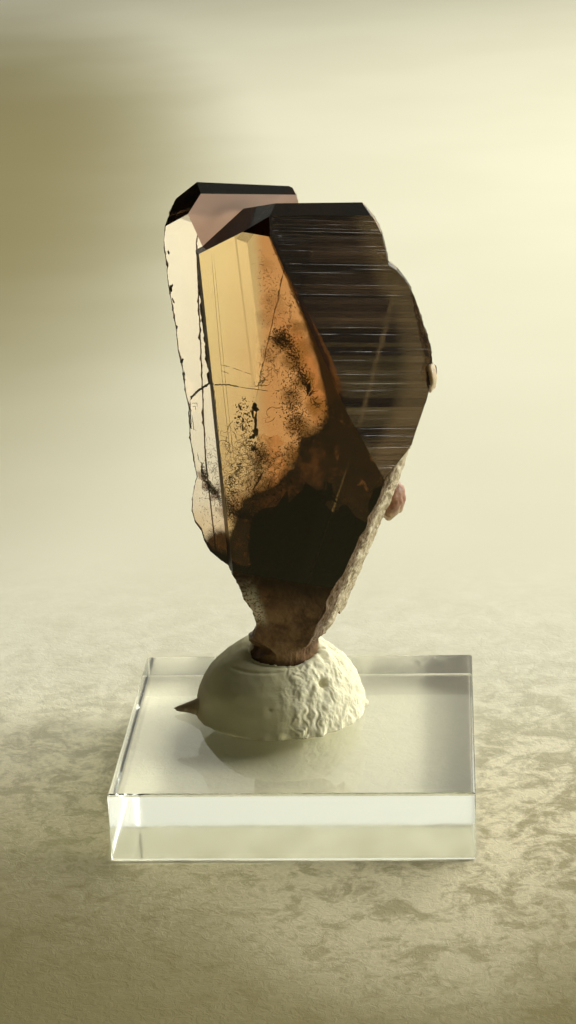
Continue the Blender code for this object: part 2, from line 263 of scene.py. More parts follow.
sky = bpy.data.worlds.new("studio_air")
scene.world = sky
sky.use_nodes = True
sky.node_tree.nodes.clear()
towards = add_node(sky.node_tree, "ShaderNodeTexCoord", out="Generated")
facing_light = distance_along(towards, SKY_TOWARDS)
air = add_node(sky.node_tree, "ShaderNodeBackground", None,
               {"Color": facing_light.between(0.42, 0.94).blend(SKY_DIM, SKY_BRIGHT)})
add_node(sky.node_tree, "ShaderNodeOutputWorld", None, {"Surface": air})

for name, lamp_place, aim, side, watts, spread in LAMPS:
    lamp = bpy.data.lights.new(name, "AREA")
    lamp.size, lamp.energy, lamp.color = side, watts, LAMP_COLOUR
    lamp.spread = math.radians(spread)
    holder = add_object(name, lamp)
    holder.location = lamp_place
    holder.rotation_euler = (Vector(aim) - Vector(lamp_place)).to_track_quat("-Z", "Y").to_euler()


# ---------------------------------------------------------------- acrylic block
# A square of clear cast acrylic, saw cut and flame polished, with a fine rounded arris.
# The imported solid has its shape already, so only its finish is made here.
ACRYLIC_CLEAR = (0.985, 0.99, 0.97, 1)
ACRYLIC_DEPTH_TINT = (0.93, 0.97, 0.88, 1)
ACRYLIC_IOR, ACRYLIC_DENSITY = 1.49, 18.0
ARRIS = (15.55, 15.8)       # mm from the middle, where the sawn edges are a little matt

acrylic, tree, place = start_material("clear_acrylic")
x, y, z = axes_of(place)
edges = x.size().most(y.size()).between(*ARRIS)
smudge = grain(place, 0.16, 3.0, 0.55).between(0.52, 0.75)
wave = grain(place, 0.22, 1.0)
finish_material(tree, {"Base Color": ACRYLIC_CLEAR, "IOR": ACRYLIC_IOR,
                       "Roughness": 0.02 + smudge * 0.05 + edges * 0.09,
                       "Transmission Weight": 1.0, "Normal": relief(wave, 0.25, 0.03)},
                ACRYLIC_DEPTH_TINT, ACRYLIC_DENSITY)
dress(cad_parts["acrylic_base"].data, acrylic)


# ---------------------------------------------------------------- mineral tack
# A lump of pale grey-green tack pressed down by hand: smooth where a finger stroked it,
# drawn into stretched fibres at the front right, and pinched out to a point on the left.
# Its colour is painted lighter on the right and darker on the left: painted light and shade.
TACK_CENTRE = Vector((-2.0, 3.3, 6.35))
TACK_RADIUS, TACK_HEIGHT = 7.85, 7.0
TACK_BOTTOM = 6.37
FOOT_CENTRE = Vector((-1.4, 1.95))
FOOT_HALF = (3.25, 2.55)
SOCKET = ((9.5, 0.9), (15.0, 1.01))     # height, and its width in parts of the foot's
SOCKET_GAP = 0.10
DOME_RISES = (-25, -12, 0, 8, 16, 24, 32, 40, 48, 56, 64, 72, 80, 86)     # degrees
TAIL = (    # x, y, z and thickness along the pinched point
    (-6.6, 1.6, 7.9, 2.3), (-8.6, 1.7, 7.25, 1.35), (-10.3, 1.9, 6.95, 0.62),
    (-11.9, 2.1, 6.72, 0.10), (-13.5, 2.3, 6.6, 0.0))
DENTS = (   # place, mm deep, mm wide
    (Vector((2.27, -1.29, 10.57)), 0.75, 0.42), (Vector((-2.44, -3.92, 9.07)), 0.22, 0.15))
TACK_VOXEL, SOFTEN_BY, SOFTEN_TIMES = 0.11, 0.5, 6
DRAWN_OUT = (-104, -68, 45, 85)     # degrees round the foot, where the tack is drawn out
PRESSED = (35, 75, 140, 175)        # degrees, where it is pressed down at the front
TACK_PAINTED_LIGHT = (0.74, 0.71, 0.51, 1)
TACK_PAINTED_SHADE = (0.50, 0.47, 0.27, 1)
TACK_DARK_EDGE = (0.40, 0.31, 0.19, 1)


def mesh_object(name, verts, faces):
    """An object whose mesh has these points, given in mm."""
    mesh = bpy.data.meshes.new(name)
    mesh.from_pydata([Vector(v) * MM for v in verts], [], faces)
    mesh.validate()
    return add_object(name, mesh)


def ringed(name, rings):
    """A closed skin over rings of equal length, each end closed with a fan."""
    count = len(rings[0])
    verts = [point for ring in rings for point in ring]
    verts += [sum((Vector(p) for p in ring), Vector()) / count for ring in (rings[0], rings[-1])]
    faces = [(len(verts) - 2, (k + 1) % count, k) for k in range(count)]
    for row in range(len(rings) - 1):
        for k in range(count):
            a, b = row * count + k, row * count + (k + 1) % count
            faces.append((a, b, b + count, a + count))
    last = (len(rings) - 1) * count
    faces += [(last + k, last + (k + 1) % count, len(verts) - 1) for k in range(count)]
    return mesh_object(name, verts, faces)


def round_ring(centre, across, deep, turn=None, count=48):
    """A ring of points; without a turn it lies level."""
    points = []
    for k in range(count):
        angle = 2 * math.pi * k / count
        point = Vector((across * math.cos(angle), deep * math.sin(angle), 0))
        points.append(Vector(centre) + (turn @ point if turn else point))
    return points


def apply_modifiers(obj):
    """The object's modifiers become its plain mesh."""
    graph = bpy.context.evaluated_depsgraph_get()
    mesh = bpy.data.meshes.new_from_object(obj.evaluated_get(graph))
    obj.modifiers.clear()
    old, obj.data = obj.data, mesh
    bpy.data.meshes.remove(old)


def turn_outwards(parts, whole):
    """The parts, each closed, become one mesh whose faces all point outwards."""
    bm = bmesh.new()
    for part in parts:
        bm.from_mesh(part)
    bmesh.ops.recalc_face_normals(bm, faces=bm.faces)
    bm.to_mesh(whole)
    bm.free()


def add_boolean(obj, operation, tool):
    modifier = obj.modifiers.new(operation.title(), "BOOLEAN")
    modifier.operation, modifier.object, modifier.solver = operation, tool, "EXACT"


def set_smooth(mesh, smooth):
    mesh.polygons.foreach_set("use_smooth", [smooth] * len(mesh.polygons))


def noise_at(*place):
    return noise(Vector(place))


def hump(value, width):
    """1 where the value is 0, falling away softly over this width."""
    return math.exp(-(value / width) ** 2)


def smooth_step(value, low, high):
    share = min(1.0, max(0.0, (value - low) / (high - low)))
    return share * share * (3 - 2 * share)


dome = ringed("mineral_tack_lump", [
    round_ring((TACK_CENTRE.x, TACK_CENTRE.y, TACK_CENTRE.z + TACK_HEIGHT * math.sin(rise)),
               TACK_RADIUS * math.cos(rise), TACK_RADIUS * math.cos(rise), count=72)
    for rise in map(math.radians, DOME_RISES)])
tail_rings = []
for (x, y, z, thick), ahead_point in zip(TAIL, TAIL[1:]):
    run = (Vector(ahead_point[:3]) - Vector((x, y, z))).to_track_quat("Z", "Y")
    tail_rings.append(round_ring((x, y, z), thick, thick * 0.8, run, 24))
tail = ringed("pinched_point", tail_rings)
floor_cut = ringed("tack_floor_cut", [round_ring((0, 0, z), 30, 30) for z in (-5, TACK_BOTTOM)])
socket_cut = ringed("socket_cut", [
    round_ring((FOOT_CENTRE.x, FOOT_CENTRE.y, z), FOOT_HALF[0] * grow + SOCKET_GAP,
               FOOT_HALF[1] * grow + SOCKET_GAP) for z, grow in SOCKET])
for obj in (dome, tail, floor_cut, socket_cut):
    turn_outwards([obj.data], obj.data)
add_boolean(dome, "UNION", tail)
add_boolean(dome, "DIFFERENCE", socket_cut)
remesh = dome.modifiers.new("Fuse", "REMESH")
remesh.mode, remesh.voxel_size = "VOXEL", TACK_VOXEL * MM
soften = dome.modifiers.new("Soften", "SMOOTH")
soften.factor, soften.iterations = SOFTEN_BY, SOFTEN_TIMES
apply_modifiers(dome)

for vert, normal in [(v, v.normal.copy()) for v in dome.data.vertices]:
    p = vert.co / MM
    side = Vector((p.x, p.y)) - FOOT_CENTRE
    around = math.degrees(math.atan2(side.y, side.x))
    away = side.length
    gap = Vector((side.x / FOOT_HALF[0], side.y / FOOT_HALF[1])).length - 1
    outside = smooth_step(gap, 0.02, 0.15)
    push = 0.10 * noise(p * 0.45) + 0.035 * noise(p * 1.3)
    # stretched fibres, running out and down from the crystal's foot, puckered and uneven
    wander = 14 * noise(p * 0.4)
    pulled = smooth_step(around + wander, *DRAWN_OUT[:2])
    pulled *= 1 - smooth_step(around, *DRAWN_OUT[2:])
    bend = around + 16 * noise(p * 0.5) + 6 * noise(p * 1.4) + 3.0 * away
    strand = Vector((bend * 0.19, away * 0.60, p.z * 0.3))
    ridges = 1 - 2.0 * abs(noise(strand))
    fibres = 1 - 2.0 * abs(noise(strand * 2.4 + Vector((5, 1, 7))))
    patches = smooth_step(noise(p * 0.7 + Vector((3, 0, 1))), -0.3, 0.25)
    lumps = noise(p * 1.15) * 0.16 + noise(p * 3.0) * 0.06 + noise(p * 6.0) * 0.03
    push += pulled * outside * (0.13 * ridges * (0.3 + 0.7 * patches) + 0.06 * fibres + lumps)
    # pressed down in front of the foot, where the smooth side meets it
    front = smooth_step(-around, *PRESSED[:2]) * (1 - smooth_step(-around, *PRESSED[2:]))
    push -= 0.42 * front * hump(gap, 0.26)
    # a torn lip heaped up against the right of the foot
    heap = hump(around + 5, 38) * hump(gap, 0.28)
    push += heap * (0.38 + 0.35 * noise(p * 1.5))
    # a shallow crease under the foot at the front left
    crease = hump(p.z - 11.72 - 0.05 * (p.x + 3), 0.10)
    push -= 0.11 * crease * smooth_step(-around, 80, 96) * (1 - smooth_step(-around, 150, 168))
    for spot, deep, wide in DENTS:
        push -= deep * hump((p - spot).length, wide)
    # ragged foot, squeezed out over the block
    low = 1 - smooth_step(p.z, 6.5, 7.5)
    push += low * (0.30 * noise_at(around * 0.11, p.z * 0.5, 3) + 0.08)
    vert.co += normal * push * MM
add_boolean(dome, "DIFFERENCE", floor_cut)
apply_modifiers(dome)
for tool in (tail, floor_cut, socket_cut):
    bpy.data.objects.remove(tool, do_unlink=True)
set_smooth(dome.data, True)

tack, tree, place = start_material("mineral_tack")
x, y, z = axes_of(place)
mottle = grain(place, 0.35, 4.0, 0.6)
fine = grain(place, 4.5, 5.0, 0.65)
# painted light and shade: lighter towards the right, darker towards the left, with a random mottle
colour = ((x + mottle * 3.0).between(-0.5, 2.8) * 0.75 + mottle * 0.3).blend(TACK_PAINTED_SHADE, TACK_PAINTED_LIGHT)
# darker brown along the bottom edge and out towards the pinched point
darker_foot_and_point = (7.0 - z).between(0.25, 0.6) * mottle.between(0.45, 0.7) * 0.6
darker_foot_and_point = (0 - x).between(7.9, 10.2).most(darker_foot_and_point)
finish_material(tree, {"Base Color": darker_foot_and_point.blend(colour, TACK_DARK_EDGE),
                       "Roughness": 0.62 + fine * 0.3, "Specular IOR Level": 0.35,
                       "Subsurface Weight": 0.25, "Subsurface Radius": (1.0, 0.9, 0.6),
                       "Subsurface Scale": 0.5 * MM, "Normal": relief(fine, 0.35, 0.06)})
dress(dome.data, tack)
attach(dome, "root")
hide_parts("putty_mount")


# ---------------------------------------------------------------- axinite crystal
# Two flat blades of axinite grown together: glassy gold and rose brown where clear, smoked
# almost black below and behind the striated face, and rough where it broke from its rock.
# It is one grown piece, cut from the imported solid, and its foot sits in the tack.
FACE_PLANES = (     # kind, a point on the face in mm, degrees to the right, degrees up
    ("window", (-3.0, -0.40, 35.0), -6, 0),
    ("lower", (5.02, -1.24, 36.26), -1, -1.5),
    ("bevel", (-7.12, 0.03, 50.39), -61, 58.5),
    ("bevel", (-3.56, -0.34, 52.17), -3.5, 14),
    ("bevel", (-1.86, -0.43, 53.65), 39, 56),
    ("bevel", (-1.92, 0.89, 54.37), 189.4, 72),
    ("step", (-7.15, 0.03, 45.0), -68, -3.2),
    ("strip", (-9.0, 1.30, 45.0), -6, 0),
    ("smooth", (-8.40, 1.24, 53.49), 30, 13.3),
    ("rear_bevel", (-8.40, 1.24, 53.49), -37, 44),
    ("rear_top", (-4.89, 3.59, 54.68), 40, 58),
    ("back", (-7.81, 3.51, 55.82), 203, 20),
    ("back", (-3.0, 7.0, 35.0), 174, 0),
    ("back", (-9.0, 8.3, 45.0), 174, 0),
    ("back", (12.3, 5.0, 38.0), 148, 4),
    ("back", (-10.75, 3.10, 50.0), 212, -3),
    ("back", (-10.75, 3.00, 50.0), 212, -3),
)
STRIATED = ((-1.23, -0.59, 51.75), 30, 13.3)
STREAK_DIP = 8.5            # degrees the growth lines fall to the right
STEP_DEPTH = 0.055          # mm between the highest and lowest growth step
STEP_TREAD, STEP_RISER = (0.05, 0.36), 0.03
TREAD_SIZES = (0.5, 1.0, 1.0, 2.2)      # narrow, common and broad treads
DARK_BANDS = (      # heights up the striated face
    (32.4, 33.1), (35.0, 35.6), (39.6, 40.2), (40.7, 41.7), (44.6, 44.75), (47.0, 47.5),
    (49.9, 50.05), (51.2, 51.7))
CHIP_SPACING = 0.27
CHIP_ROWS, CHIP_LOWEST = 120, 20.0
TREADS_FROM, TREADS_TO = 29.0, 54.0     # heights up the striated face
SCORES = (-6.0, -4.2, -3.0, -1.0, 1.2, 3.0, 4.6, 5.6)      # places along the growth lines
MERGE = 0.002               # mm, points closer than this are one
FOOT_CUT = (Vector((-4.0, 0.0, 20.7)), Vector((0.16, 0.0, 1.0)))
BROKEN_EDGE = 0.30          # mm, the longest edge left on a broken surface
MARKS = {   # how each kind of face is marked for the material
    **{kind: {kind: 1.0} for kind in ("striated", "back", "fresh", "step", "rear_bevel")},
    "dark_face": {"striated": 1.0, "lower": 1.0},
    "rear_blade": {"strip": 1.0, "smooth": 0.5},
    "broken": {"broken": 1.0, "foot": 1.0},
}
SMOOTH_MARK, STRIP_MARK = (0.25, 0.26), (0.75, 0.76)    # rear_blade values that part the two
ROUGH_KINDS = ("broken", "rim", "foot", "fresh")
# the crystal's second finish is for broken stone and its third for smoked stone
SKINS = {"broken": 1, "rim": 1, "foot": 1, "step": 1, "bevel": 2, "rear_bevel": 2, "rear_top": 2}
STONE_RIGHT = (     # height, and where the stone's right side is there
    (31.0, 8.0), (34.0, 9.6), (37.5, 11.2), (41.0, 11.3), (44.0, 10.6), (47.0, 9.0), (53.5, 6.9))
RIDGE_TOP = Vector((-1.23, 0.0, 51.75))
ACROSS_RIDGE = Vector((0.927, 0.0, 0.375))
RIDGE_LEAN = 0.4024         # mm the ridge runs to the right for each mm down
SAME_FACING, SAME_PLANE = 0.999, 0.04       # how closely a small face has to match a face
RIM_FACING, RIM_LOWEST = (65, -24), 13.9
FOOT_HEIGHT, FRESH_ABOVE, STRIATED_LOWEST = 14.3, 34.0, 31.0


def facing(degrees_right, degrees_up):
    right, up = math.radians(degrees_right), math.radians(degrees_up)
    return Vector((math.sin(right) * math.cos(up), -math.cos(right) * math.cos(up), math.sin(up)))


def kind_of_face(centre, normal):
    """Which of the crystal's faces a small face lies on. The point is in mm."""
    if normal.x > 0.4 and normal.y > 0.6 and centre.z > FRESH_ABOVE:
        return "fresh"
    for kind, point, right, up in FACE_PLANES:
        plane = facing(right, up)
        off = abs(plane.dot(centre - Vector(point)))
        if plane.dot(normal) > SAME_FACING and off < SAME_PLANE:
            return kind
    plane = facing(*STRIATED[1:])
    depth_below = plane.dot(Vector(STRIATED[0]) - centre)
    if -0.05 < depth_below < 1.1 and centre.z > STRIATED_LOWEST and (
            plane.dot(normal) > 0.9 or (depth_below < 0.75 and abs(normal.z) > 0.55)):
        return "striated"
    rightwards = facing(*RIM_FACING).dot(normal)
    kind = "rim" if rightwards > 0.55 and centre.z > RIM_LOWEST else "broken"
    if kind == "broken" and centre.z < FOOT_HEIGHT and centre.y < 3.0:
        return "foot"
    if kind == "rim" and centre.z > 36.5 and centre.x > 8.0:
        return "rim"
    clear_above = FRESH_ABOVE if kind == "rim" else 27.0 + 0.5 * centre.x
    return "fresh" if centre.z > clear_above and centre.x > -6.5 else kind


crystal = add_object("axinite_blades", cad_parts["axinite_crystal"].data.copy())
bm = bmesh.new()
bm.from_mesh(crystal.data)
bmesh.ops.remove_doubles(bm, verts=bm.verts, dist=MERGE * MM)
bmesh.ops.dissolve_degenerate(bm, edges=bm.edges, dist=MERGE * MM)
kinds = bm.faces.layers.string.new("kind")
for face in bm.faces:
    face[kinds] = kind_of_face(face.calc_center_median() / MM, face.normal).encode()


def kind_of(face):
    return face[kinds].decode()


def cut_faces(names, place, direction):
    """Score a line across the faces of these kinds."""
    region = [face for face in bm.faces if kind_of(face) in names]
    parts = region + list({edge for face in region for edge in face.edges})
    parts += list({vert for face in region for vert in face.verts})
    bmesh.ops.bisect_plane(bm, geom=parts, dist=1e-7, plane_co=place * MM, plane_no=direction)


def fill_flat(faces):
    """Each many-sided face becomes triangles, with none over points that lie in one line."""
    for face in faces:
        right = face.normal.orthogonal().normalized()
        up = face.normal.cross(right)
        rim = list(face.verts)
        outline = [Vector((vert.co.dot(right), vert.co.dot(up))) / MM for vert in rim]
        made = geometry.delaunay_2d_cdt(outline, [], [list(range(len(rim)))], 1, 1e-8)
        for corners in made[2]:
            triangle = bm.faces.new([rim[made[3][corner][0]] for corner in corners], face)
            triangle.normal_update()
            if triangle.normal.dot(face.normal) < 0:
                triangle.normal_flip()
        bm.faces.remove(face)


def all_rough(faces):
    return all(kind_of(face) in ROUGH_KINDS for face in faces)


def fill_rough_faces():
    fill_flat([face for face in bm.faces if all_rough([face]) and len(face.verts) > 3])


def touching(edge, *names):
    """True where the edge parts two faces of these kinds."""
    return {kind_of(face) for face in edge.link_faces} == set(names)


# the rear blade's edges are chipped along its own plane, so its face stays flat
sideways = facing(84, 0)
bmesh.ops.dissolve_faces(bm, faces=[face for face in bm.faces if kind_of(face) == "strip"])
for edge in [edge for edge in bm.edges if touching(edge, "strip", "back")]:
    cuts = int(edge.calc_length() / (CHIP_SPACING * MM))
    if cuts and abs((edge.verts[0].co - edge.verts[1].co).normalized().z) > 0.7:
        bmesh.ops.subdivide_edges(bm, edges=[edge], cuts=cuts)
for number in range(CHIP_ROWS):
    high = CHIP_LOWEST + number * CHIP_SPACING
    cut_faces(("step",), Vector((0.0, 0.0, high)), Vector((0, 0, 1)))
for vert in bm.verts:
    meets = {kind_of(face) for face in vert.link_faces}
    high = vert.co.z / MM
    if meets == {"strip", "back"} and len(vert.link_edges) == 2:
        nick = noise_at(high * 1.7, 0.4, 0) + 0.8 * noise_at(high * 3.8, 5, 0)
        vert.co += sideways * 0.75 * max(0.0, nick + 0.12) * MM
    elif meets == {"strip", "step"}:
        nick = noise_at(high * 1.1, 0.4, 0) + 0.8 * noise_at(high * 2.9, 5, 0)
        vert.co += sideways * (0.26 * nick + 0.28 * smooth_step(-high, -39, -36.5)) * MM

# growth steps across the striated face: flat treads at slightly different depths
plane = facing(*STRIATED[1:])
along = Vector((0, 0, 1)).cross(plane).normalized()
along.rotate(Matrix.Rotation(math.radians(-STREAK_DIP), 3, plane))
across = plane.cross(along)
dice = random.Random(31)
treads = []         # height, depth at its foot and at its head, and how light it is
height = TREADS_FROM
while height < TREADS_TO:
    tread = dice.uniform(*STEP_TREAD) * dice.choice(TREAD_SIZES)
    depth = -STEP_DEPTH * dice.random()
    light = 0.15 + 0.75 * dice.random() ** 1.6
    if any(low - tread < height < high for low, high in DARK_BANDS):
        light = 0.0
    treads.append((height, tread, depth, depth + dice.uniform(-0.006, 0.006), light))
    height += tread + STEP_RISER
for height, tread, *rest in treads:
    for place in (height, height + tread):
        cut_faces(("striated",), across * place, across)
for place in SCORES:
    cut_faces(("striated",), along * place, along)
for gap in (0.25, 0.9):
    cut_faces(("striated",), RIDGE_TOP + ACROSS_RIDGE * gap, ACROSS_RIDGE)


def tread_at(high):
    """The tread at this height, and how far above it the place is, in parts of the riser."""
    tread = max((t for t in treads if t[0] <= high + 1e-3), default=treads[0])
    return tread, (high - tread[0] - tread[1]) / STEP_RISER


for vert in bm.verts:
    if all(kind_of(face) == "striated" for face in vert.link_faces):
        p = vert.co / MM
        tread, above = tread_at(across.dot(p))
        depth = tread[3] if above > -0.01 else tread[2]
        fade = 0.55 + 0.9 * noise_at(along.dot(p) * 0.22, across.dot(p) * 0.9, 1.7)
        fade = max(0.05, fade) * smooth_step(ACROSS_RIDGE.dot(p - RIDGE_TOP), 0.25, 0.9)
        vert.co += plane * depth * fade * smooth_step(p.x, -1.15, -0.5) * MM

# the foot below the smoke is weathered, and every broken surface is divided and roughened
cut_faces(("lower", "window"), *FOOT_CUT)
for face in bm.faces:
    below = FOOT_CUT[1].dot(face.calc_center_median() / MM - FOOT_CUT[0]) < 0
    if below and kind_of(face) in ("lower", "window"):
        face[kinds] = b"foot"
fill_rough_faces()
for halving in range(6):
    long_edges = [edge for edge in bm.edges if edge.calc_length() > BROKEN_EDGE * MM
                  and any(all_rough([face]) for face in edge.link_faces)]
    bmesh.ops.subdivide_edges(bm, edges=long_edges, cuts=1, use_grid_fill=True,
                              use_single_edge=True)
    fill_rough_faces()
bm.normal_update()
for vert in bm.verts:
    if all_rough(vert.link_faces):
        p = vert.co / MM
        rough = 0.12 * noise(p * 1.1) + 0.09 * noise(p * 2.9) + 0.05 * noise(p * 6)
        calm = 0.45 if any(kind_of(face) == "foot" for face in vert.link_faces) else 1.0
        vert.co += vert.normal * (rough - 0.08 * (1 - calm)) * calm * MM
bm.normal_update()
fill_flat([face for face in bm.faces if len(face.verts) > 3])
face_kinds = [kind_of(face) for face in bm.faces]
tread_light = []
for face in bm.faces:
    tread, above = tread_at(across.dot(face.calc_center_median() / MM))
    tread_light.append(tread[4] if above < 0 else (0.0 if tread[4] < 0.55 else 0.9))
bm.faces.layers.string.remove(kinds)
bm.to_mesh(crystal.data)
bm.free()


def add_values(mesh, name, values, domain="POINT", kind="FLOAT"):
    """A named value for each point or face of a mesh, for its material to read."""
    mesh.attributes.new(name, kind, domain).data.foreach_set("value", values)


def read_values(tree, *names):
    return [add_node(tree, "ShaderNodeAttribute", {"attribute_name": name}, out="Fac")
            for name in names]


for mark, weights in MARKS.items():
    add_values(crystal.data, mark, [weights.get(kind, 0.0) for kind in face_kinds], "FACE")
add_values(crystal.data, "tread_light", tread_light, "FACE")
set_smooth(crystal.data, False)


def passing(red, green, blue):
    """A base colour of clear stone: one surface lets these shares of the light through."""
    return (red ** 2, green ** 2, blue ** 2, 1)


def layered(colour, *layers):
    """A colour with others laid over it in turn, each where its mask is 1."""
    for mask, over in layers:
        colour = mask.blend(colour, over)
    return colour


GOLD_PALE = passing(0.83, 0.69, 0.42)
GOLD_DEEP = passing(0.74, 0.54, 0.30)
SALMON = passing(0.75, 0.41, 0.19)
EMBER = passing(0.60, 0.225, 0.055)
EDGE_AMBER = passing(0.155, 0.062, 0.009)
MOSS_HAZE = passing(0.30, 0.135, 0.02)
SMOKE_RED = passing(0.17, 0.075, 0.03)
EDGE_DEEP = passing(0.060, 0.024, 0.006)
CORE_BROWN = passing(0.032, 0.013, 0.004)
OLIVE_CLEAR = passing(0.42, 0.36, 0.20)
AMBER_BROWN = passing(0.42, 0.20, 0.05)
SMOKE = passing(0.020, 0.010, 0.004)
SMOKE_BROWN = passing(0.085, 0.035, 0.012)
STREAK_DARK = passing(0.020, 0.014, 0.009)
STREAK_LIGHT = passing(0.118, 0.079, 0.058)
STREAK_OLIVE = passing(0.130, 0.103, 0.060)
VEIL = passing(0.195, 0.143, 0.087)
MAUVE = passing(0.72, 0.50, 0.46)
MAUVE_DEEP = passing(0.58, 0.39, 0.35)
CLEAR_PINK = (0.97, 0.90, 0.86, 1)
STRIP_ROSE = passing(0.90, 0.74, 0.60)
BACK_TINT = (0.98, 0.93, 0.84, 1)
FRESH_TINT = passing(0.93, 0.80, 0.62)
SMOKED_OVER = passing(0.16, 0.11, 0.05)
SMOKED_SHEEN = (0.27, 0.24, 0.17, 1)
STONE_IOR, STONE_DENSITY, STONE_DEPTH_TINT = 1.68, 60.0, (0.90, 0.72, 0.60, 1)
PALE_LINE = (5.7, 33.2, 0.347)      # a point across and up on it, and how far it leans
SMOKE_EDGE = (      # a place across, and the height the smoke reaches there
    (-10.0, 21.6), (-8.4, 22.6), (-7.6, 23.3), (-7.0, 23.6), (-6.4, 23.8), (-5.6, 24.3),
    (-5.0, 25.6), (-4.4, 27.2), (-3.5, 28.0), (-2.6, 28.4), (-1.5, 28.8), (-0.4, 30.2),
    (0.5, 31.2), (1.0, 33.2), (2.4, 34.2), (3.4, 35.4), (4.2, 37.2))
RIDGE_BULGE = (     # height, and how far the clear part reaches past the ridge
    (32.0, 0.0), (36.0, 0.0), (36.9, 0.2), (38.8, 0.60), (40.7, 0.74), (42.6, 0.62),
    (45.3, 0.42), (46.9, 0.26), (49.0, 0.0))
HAZE_BLOBS = (      # middle across and up, reach in mm, strength
    (0.9, 43.6, 1.1, 0.85), (-8.2, 29.7, 0.55, 0.85), (-7.7, 28.7, 0.6, 0.9),
    (-7.1, 27.8, 0.7, 0.92), (-6.1, 26.4, 1.0, 0.85), (-5.0, 26.2, 1.2, 0.9),
    (-3.9, 26.2, 1.5, 0.92), (3.7, 36.2, 1.4, 0.97), (2.9, 38.6, 0.9, 0.7),
    (-1.8, 44.6, 1.1, 0.45), (-0.7, 45.4, 1.0, 0.4), (-0.5, 42.5, 1.5, 0.97),
    (0.5, 40.9, 1.5, 0.95), (1.4, 38.9, 1.3, 0.92), (0.2, 37.4, 1.3, 0.85),
    (0.7, 34.8, 1.5, 0.95), (0.2, 32.2, 1.4, 0.92), (-2.9, 31.9, 1.4, 0.80),
    (-4.6, 27.3, 2.1, 0.93), (-3.1, 29.2, 1.9, 0.75), (2.4, 36.6, 1.4, 0.90),
    (-1.1, 46.0, 1.3, 0.55), (-1.6, 49.2, 0.9, 0.4), (-1.6, 41.4, 1.1, 0.6),
    (-6.6, 28.3, 1.3, 0.6), (1.5, 42.0, 1.2, 0.75))
EDGE_WIDTH = (      # height, and the width of the dark amber along the ridge
    (32.0, 1.7), (38.8, 1.7), (40.7, 1.6), (43.0, 1.2), (45.0, 0.8), (46.9, 0.45), (49.0, 0.2),
    (52.0, 0.1))


def curve_over(wire, pairs):
    """A value that follows these pairs of place and value, from one end to the other."""
    low, high = pairs[0][0], pairs[-1][0]
    least = min(value for _, value in pairs)
    span = max(value for _, value in pairs) - least
    stops = tuple(((at - low) / (high - low), ((value - least) / span,) * 3 + (1,))
                  for at, value in pairs)
    share = wire.node("ShaderNodeValToRGB", {"stops": stops}, {0: (wire - low) / (high - low)})
    return share * span + least


axinite, tree, place = start_material("brown_axinite")
x, y, z = axes_of(place)
dark_face, striated, rear_blade, back, fresh, tread_light = read_values(
    tree, "dark_face", "striated", "rear_blade", "back", "fresh", "tread_light")
soft = grain(place, 0.28, 3.0, 0.55) - 0.5
mottle = grain(place, 1.1, 5.0, 0.65, 0.5) - 0.5
wisp = grain(place, 2.6, 4.0, 0.7, 1.2) - 0.5

# growth streaks across the striated face
high, long = (distance_along(place, way) for way in (across, along))
broad_streaks, fine_streaks = (
    grain(long.node("ShaderNodeCombineXYZ", None, {0: long * drawn, 1: high}), *kind)
    for drawn, *kind in ((0.05, 0.5, 2.0, 0.6), (0.03, 3.4, 3.0, 0.75)))
streak = tread_light * (0.30 + broad_streaks.between(0.35, 0.68) * 0.75)
streak = streak * (0.75 + fine_streaks * 0.5) * ((0 - long) + soft * 5.0).between(7.0, 1.5)
lower_part = (42.0 - high).between(-1.5, 2.0)
veil = (long - (high - 33.8) * 0.30 + mottle * 0.6).size().between(0.40, 0.0)
veil = veil * (high + soft * 6).between(32.0, 36.0)
right_edge = (x - curve_over(z, STONE_RIGHT) + soft).between(-2.0, -0.2)
streak_colour = layered(
    streak.blend(STREAK_DARK, lower_part.blend(STREAK_LIGHT, STREAK_OLIVE)),
    (veil * (47.5 - high).between(0.0, 2.5) * 0.32, VEIL),
    (right_edge * (0.35 + tread_light * 0.4), VEIL))

# the smoke's upper edge across the front blade, over each place from left to right
below_edge = curve_over(x, SMOKE_EDGE) - z + soft * 2.0 + mottle * 1.6 + wisp * 1.0
smoke = below_edge.between(-1.7, -0.1)
fringe = below_edge.between(-2.6, 0.0) * (x + mottle).between(-5.0, -2.5)

# dark amber and a darker core beside the ridge, with ember light left of them
ridge_x = RIDGE_TOP.x + (RIDGE_TOP.z - z) * RIDGE_LEAN
from_edge = ridge_x + curve_over(z, RIDGE_BULGE) - x + wisp * 0.25 + soft * 0.3
edge_width = curve_over(z, EDGE_WIDTH) + mottle * 0.5
edge_amber = (from_edge / edge_width).between(1.2, 0.75)
core_place = (46.5 - z).between(0.0, 9.0)
core = (from_edge - 0.25 - core_place * 0.85 + mottle * 0.5).size()
core = (core / (core_place * 0.55 + 0.45)).between(0.75, 0.42)
core = core * (z + soft * 3.0).between(48.5, 45.0)
ember = (from_edge - 2.4 + mottle).size().between(1.5, 0.5)
ember = ember * (z - 39.5 + soft * 3.0).size().between(7.0, 3.0)
moss_haze = x * 0.0
for middle_x, middle_z, reach, strength in HAZE_BLOBS:
    away = (x - middle_x).square() + (z - middle_z).square()
    away = away + (mottle + wisp * 0.6) * (reach * 1.9)
    moss_haze = moss_haze.most(away.between(reach * reach, 0.0) * strength)

